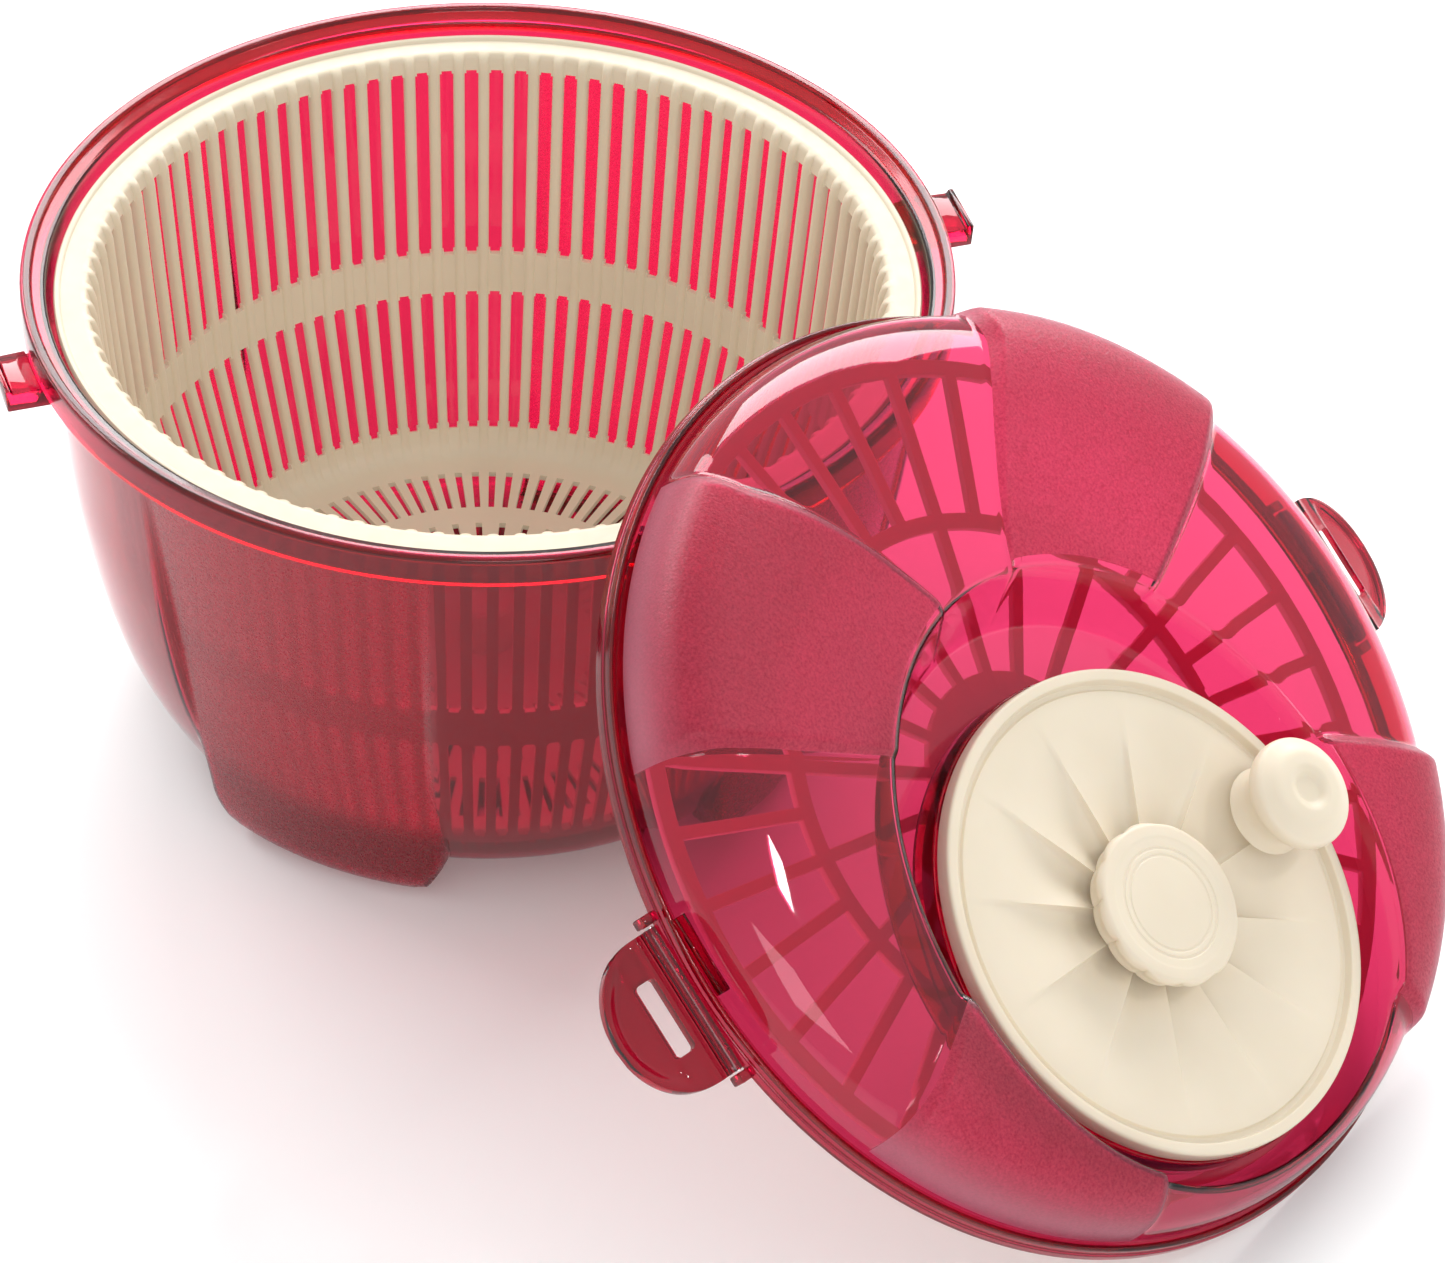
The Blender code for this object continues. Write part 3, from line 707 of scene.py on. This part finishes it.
def make_lid_shell():
    """The lid as one shell: skirt, clear dome with a frosted petal in each quarter, and the oval well."""
    skirt = rounded(SKIRT_LINE)
    dome, petal = smooth_line(DOME_LINE, 10), smooth_line(PETAL_LINE, 10)
    angles, offsets = quarter_columns(PETAL_EDGE)
    columns = []
    for angle, offset in zip(angles, offsets):
        column, crest_row = lid_column(angle, offset, dome, petal)
        below = np.column_stack([skirt[:-1, 0], np.full(len(skirt) - 1, angle), skirt[:-1, 1]])
        columns.append(np.vstack([below, column]))
    crest_row += len(skirt) - 1
    profiles = np.array(columns)
    points = round_points(profiles[:, :, 0].T, profiles[:, :, 1].T, profiles[:, :, 2].T)
    faces, cells = grid_faces(len(points), len(angles))
    first_row = len(skirt)
    marks = []
    for row, column in cells:
        if row < first_row - 1:
            marks.append(RIM_MARK)
        elif offsets[column] < PETAL_EDGE + 0.2 and first_row <= row < crest_row + 2:
            marks.append(FROST_MARK)
        else:
            marks.append(CLEAR_MARK)
    mesh = make_mesh("lid_shell", points, faces, marks)
    looks = [CLEAR, FROST_LID, CLEAR_RIM]
    add_piece("lid_shell", mesh, LID, "lid", looks, ("lid_dome",), CRISP, -LID_WALL)


def make_lid():
    """The lid's shell, the collar round the crank, the axle's boss, the latches' ears and their stops."""
    make_lid_shell()
    foot = WELL_FLOOR + 0.05
    collar = ((74.2, foot, 0), (74.2, 17.0, 0.6), (72.3, 17.0, 0.6), (72.3, foot, 0))
    turned_piece("lid_collar", collar, CRANK, "lid", CLEAR, steps=128, loop=True)
    boss = ((0, 10, 0), (10, 10, 1), (10, foot, 0), (0, foot, 0))
    turned_piece("lid_boss", boss, CRANK, "lid", CLEAR, steps=48)
    for side, name in ((1, "left"), (-1, "right")):
        for end, where in ((1, "front"), (-1, "back")):
            ends = (end * 23.8, end * 26.9)
            ear = f"lid_ear_{name}_{where}"
            lid_bar(ear, side * 143.6, side * 149.4, ends, (-2.5, 2.5), CLEAR_THICK, 0.6)
        for index, inward in enumerate((0.0, 1.9)):
            near, far = side * (139.6 - inward), side * (140.7 - inward)
            heights = (1.5, 4.0 + inward)
            lid_bar(f"lid_stop_{name}_{index}", near, far, (-side * 21.5, side * 3.0), heights, CLEAR, 0.35)


# ---------------------------------------------------------------- latches

LATCH_HALF = 23.0
LATCH_REACH = 32.0
LATCH_BARREL = 2.6
# The straight part of the latch ends here, and its round end begins.
LATCH_STRAIGHT = 7


def latch_grid():
    """Places over the latch's outline: x out from its hinge, y along the hinge."""
    barrel = np.linspace(-LATCH_BARREL, LATCH_BARREL, 9)
    xs = np.concatenate([barrel, np.linspace(2.9, 10, 20), np.linspace(10.6, LATCH_REACH, 32)])
    past = np.clip((xs - LATCH_STRAIGHT) / (LATCH_REACH - LATCH_STRAIGHT), 0, 1)
    wide = np.maximum(LATCH_HALF * (1 - past**2.25) ** 0.5, 0.02)
    wide = np.where(xs <= LATCH_STRAIGHT, LATCH_HALF, wide)
    y = np.linspace(-1, 1, 25)[None, :] * wide[:, None]
    return np.broadcast_to(xs[:, None], y.shape), y


def make_latch(side):
    """A latch: a barrel on its pin, two raised ridges, a slot for the lug, and a round end with a rim."""
    place = LATCHES[side]
    x, y = latch_grid()
    on_barrel = np.abs(x) < LATCH_BARREL
    barrel = np.sqrt(np.clip(LATCH_BARREL**2 - np.clip(np.abs(x), 0, LATCH_BARREL) ** 2, 0, None))
    second = 1.5 * np.exp(-(((x - 4.3) / 0.75) ** 4))
    bulge = 1.0 * np.exp(-(((x - 7.6) / 1.6) ** 2))
    past_slot = ramp(x, 16.4, 17.4)
    outward = np.hypot((x - LATCH_STRAIGHT) / (LATCH_REACH - LATCH_STRAIGHT), y / LATCH_HALF)
    rim = 0.9 * ramp(outward, 0.80, 0.97) * past_slot
    plate = 0.9 + second + bulge - 0.7 * past_slot + rim
    top = np.where(on_barrel, np.maximum(barrel, 0.6), plate)
    low = np.where(on_barrel, -np.maximum(barrel, 0.6), -1.0 - 0.4 * past_slot)
    upper = np.stack([x, y, top], -1)
    lower = np.stack([x, y, low], -1)
    keep = np.ones((x.shape[0] - 1, x.shape[1]), bool)
    keep[:, -1] = False
    mesh = make_mesh(f"latch_{side}_plate", *double_grid(upper, lower, keep))
    slot = cutter_box("slot", (8.8, -11.4, -6), (16.2, 11.4, 6), place, 1.5)
    node = f"latch_{side}"
    name = f"latch_{side}_plate"
    add_piece(name, mesh, place, node, [CLEAR_THICK], (node,), CRISP, 0, 0.35, [slot])


# ---------------------------------------------------------------- crank and knob

PLEATS = 12


def pleat_wave(angle, radius, height):
    """Soft flutes between the crank disc's ridges, deepest by the hub."""
    top_face = (height > 17) & (radius < 69)
    part = (angle * PLEATS / TAU) % 1.0
    flute = 1.8 * part**0.35 * (1 - part)
    depth = 5.2 * (1 - ramp(radius, 21, 66)) * top_face
    return radius, height - depth * flute


def scallops(angle, radius, height):
    """Shallow lobes round the hub cap's edge, one for each flute."""
    lobe = np.abs(np.sin(angle * PLEATS / 2)) ** 0.6
    side = ramp(radius, 21, 23.5) * (1 - ramp(height, 27.0, 29.2))
    return radius * (1 + side * 0.05 * (lobe - 0.75)), height


def make_crank():
    """The crank disc, its hub cap and the finger knob."""
    corners = (
        (5.4, 20.0, 0), (22, 20.4, 0), (26, 20.6, 0), (30, 20.8, 0), (34, 20.9, 0), (38, 21.0, 0),
        (42, 21.05, 0), (46, 21.1, 0), (52, 21.3, 0), (58, 21.4, 0), (64, 21.4, 0), (67.0, 21.2, 0.2),
        (67.6, 20.3, 0.3), (69.2, 20.3, 0.3), (69.9, 23.0, 0.5), (73.5, 23.0, 1.2), (73.5, 17.5, 0.5),
        (71.6, 17.4, 0.4), (71.6, 8.6, 0.3), (69.8, 8.6, 0.3), (69.8, 15.6, 0.5), (9, 15.4, 0.5),
        (9, 10.8, 0.3), (5.4, 10.8, 0.3),
    )
    turned_piece(
        "crank_disc_body", corners, CRANK, "crank", CREAM_DISC, ("crank_disc",),
        360, SOFT, pleat_wave, True,
    )
    cap = (
        (0, 29.0, 0), (13.9, 29.0, 0.2), (14.1, 28.75, 0.2), (14.7, 28.75, 0.2), (14.9, 29.0, 0.2),
        (16.0, 29.05, 0.2), (16.2, 28.8, 0.2), (16.9, 28.8, 0.2), (17.1, 29.1, 0.2),
        (19.4, 29.2, 0.3), (20.2, 29.35, 0.3), (23.9, 29.3, 1.8), (24.7, 27.0, 1.2),
        (23.2, 24.2, 1.2), (22.8, 21.3, 0.4), (0, 21.3, 0),
    )
    hub = ("crank_hub_cap",)
    turned_piece("crank_hub", cap, CRANK, "crank", CREAM_DISC, hub, 360, SOFT, scallops)
    grip = (
        (0, 44.3, 0), (3.9, 44.3, 0.8), (5.4, 45.6, 0.9), (7.0, 46.2, 0.8), (11.4, 45.7, 1.6),
        (14.2, 43.9, 1.6), (16.6, 42.6, 1.2), (17.0, 39.8, 1.6), (16.2, 37.3, 1.2), (13.0, 35.4, 1.4),
        (11.8, 32.5, 1.4), (11.4, 28.8, 2.0), (12.6, 26.0, 1.0), (13.6, 24.8, 0.5), (10.4, 24.8, 0.3),
        (3.9, 26.0, 0.3), (3.9, 41.6, 0.3), (0, 41.6, 0),
    )
    turned_piece("knob_body", grip, KNOB, "knob", CREAM_DISC, ("knob_grip",), 96, SOFT)


# ---------------------------------------------------------------- drive plate

SPOKES = 36
SPOKE_HALF = 1.95
PLATE_TURN = math.radians(-8.8)
PLATE_TOP, PLATE_BOTTOM = -0.9, -3.55
# The plate's outer ring, middle ring and hub end at these radii.
OUTER_RING, MIDDLE_RING, HUB = 125, (82, 77), 33


def make_drive_plate():
    """The drive plate: three rings, with every spoke between the outer two and every other one inside."""
    radii = np.array(
        (130.1, 129.5, 127.7, 125.6, 125, 115, 103, 92, 82.6, 82, 79.5, 77, 76.4, 66, 55, 44, 33.6, 33)
        + (24, 14, 4.0)
    )
    gap = TAU / SPOKES
    half = np.minimum(np.arcsin(np.clip(SPOKE_HALF / radii, 0, 0.35)), gap * 0.3)
    columns = []
    for share in (-1, -0.5, 0, 0.5, 1):
        columns.append(half * share)
    for share in (0.2, 0.4, 0.6, 0.8):
        columns.append(half + (gap - 2 * half) * share)
    local = np.stack(columns, -1)
    per = local.shape[1]
    angles = local[:, None, :] + (np.arange(SPOKES) * gap)[None, :, None]
    angles = angles.reshape(len(radii), -1) + PLATE_TURN
    count = angles.shape[1]
    column_share = np.tile(np.arange(per), SPOKES)
    spoke_index = np.repeat(np.arange(SPOKES), per)
    keep = np.ones((len(radii) - 1, count), bool)
    on_spoke = column_share < 4
    for row in range(len(radii) - 1):
        middle = (radii[row] + radii[row + 1]) / 2
        if MIDDLE_RING[0] < middle < OUTER_RING:
            keep[row] = on_spoke
        elif HUB < middle < MIDDLE_RING[1]:
            keep[row] = on_spoke & (spoke_index % 2 == 0)
    top = round_points(radii[:, None], angles, PLATE_TOP)
    low = round_points(radii[:, None], angles, PLATE_BOTTOM)
    mesh = make_mesh("drive_wheel", *double_grid(top, low, keep))
    node = ("drive_plate",)
    add_piece("drive_wheel", mesh, LID, "drive", [CREAM_PLATE], node, SOFT, 0, 0.5)


# ---------------------------------------------------------------- carried-over nodes

def dress_nodes():
    """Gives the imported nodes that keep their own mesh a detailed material."""
    looks = {
        "pivot_pin": CLEAR_BOWL, "bearing_cup": CREAM, "ring_gear": CREAM, "drive_pinion": CREAM,
        "knob_spindle": CREAM, "latch_pin_left": STEEL, "latch_pin_right": STEEL, "pinion_bush": STEEL,
        "crank_axle": STEEL, "drive_plate_screw": STEEL,
    }
    for name, material in looks.items():
        item = NODES[name]
        item.data.materials.clear()
        item.data.materials.append(material)
        item.data.set_sharp_from_angle(angle=math.radians(CRISP))


# ---------------------------------------------------------------- studio

# The lamps point here, in the middle of the object.
AIM = Vector((0, 0, 0.08))


def floor_material():
    m = Nodes("floor")
    m.feed("Base Color", m.blend(m.noise(3, 3), (0.93, 0.93, 0.93), (0.92, 0.92, 0.92)))
    m.set(Roughness=0.75, Emission_Color=(1, 1, 1, 1), Emission_Strength=0.08)
    return m.material


def make_studio():
    """A pale floor, even light all round, and four soft lamps. Lamps are (name, place, size, power)."""
    mesh = bpy.data.meshes.new("floor")
    size = 12.0
    corners = [(-size, -size, 0), (size, -size, 0), (size, size, 0), (-size, size, 0)]
    mesh.from_pydata(corners, [], [(0, 1, 2, 3)])
    mesh.materials.append(floor_material())
    floor = bpy.data.objects.new("floor", mesh)
    bpy.context.scene.collection.objects.link(floor)
    floor.location.z = -0.0004
    world = bpy.data.worlds.new("studio")
    bpy.context.scene.world = world
    world.use_nodes = True
    background = world.node_tree.nodes["Background"]
    background.inputs["Color"].default_value = (1, 1, 1, 1)
    background.inputs["Strength"].default_value = 0.80
    for name, place, size, power in (
        ("key", (-1.6, 0.2, 1.3), (1.2, 0.8), 17),
        ("strip", (1.35, 0.35, 1.55), (0.28, 0.08), 3),
        ("back", (-0.62, 1.45, 1.12), (2.0, 0.8), 38),
        ("fill", (1.3, -1.6, 1.2), (0.8, 0.8), 7),
    ):
        lamp = bpy.data.lights.new(name, "AREA")
        lamp.shape = "RECTANGLE"
        lamp.size, lamp.size_y = size
        lamp.energy = power
        item = bpy.data.objects.new(name, lamp)
        bpy.context.scene.collection.objects.link(item)
        item.location = place
        item.rotation_euler = (AIM - Vector(place)).to_track_quat("-Z", "Y").to_euler()


def make_camera():
    """The camera looks down at the table from in front of the bowl and the lid."""
    turn, down, roll = math.radians(33.87), math.radians(39.29), math.radians(1.71)
    data = bpy.data.cameras.new("camera")
    data.sensor_width = 36.0
    data.lens = 190.36
    data.clip_start, data.clip_end = 0.05, 50
    camera = bpy.data.objects.new("camera", data)
    bpy.context.scene.collection.objects.link(camera)
    aim = Matrix.Rotation(turn, 4, "Z") @ Matrix.Rotation(math.pi / 2 - down, 4, "X")
    look = aim @ Matrix.Rotation(roll, 4, "Z")
    camera.matrix_world = Matrix.Translation((0.98662, -1.44611, 1.52453)) @ look
    bpy.context.scene.camera = camera


def set_view():
    """Plain colours, and enough bounces to see through several tinted walls."""
    scene = bpy.context.scene
    scene.view_settings.view_transform = "Standard"
    scene.cycles.max_bounces = 20
    scene.cycles.transmission_bounces = 20
    scene.cycles.transparent_max_bounces = 20


make_bowl()
make_basket()
make_lid()
for latch_side in LATCHES:
    make_latch(latch_side)
make_crank()
make_drive_plate()
dress_nodes()
make_studio()
make_camera()
set_view()
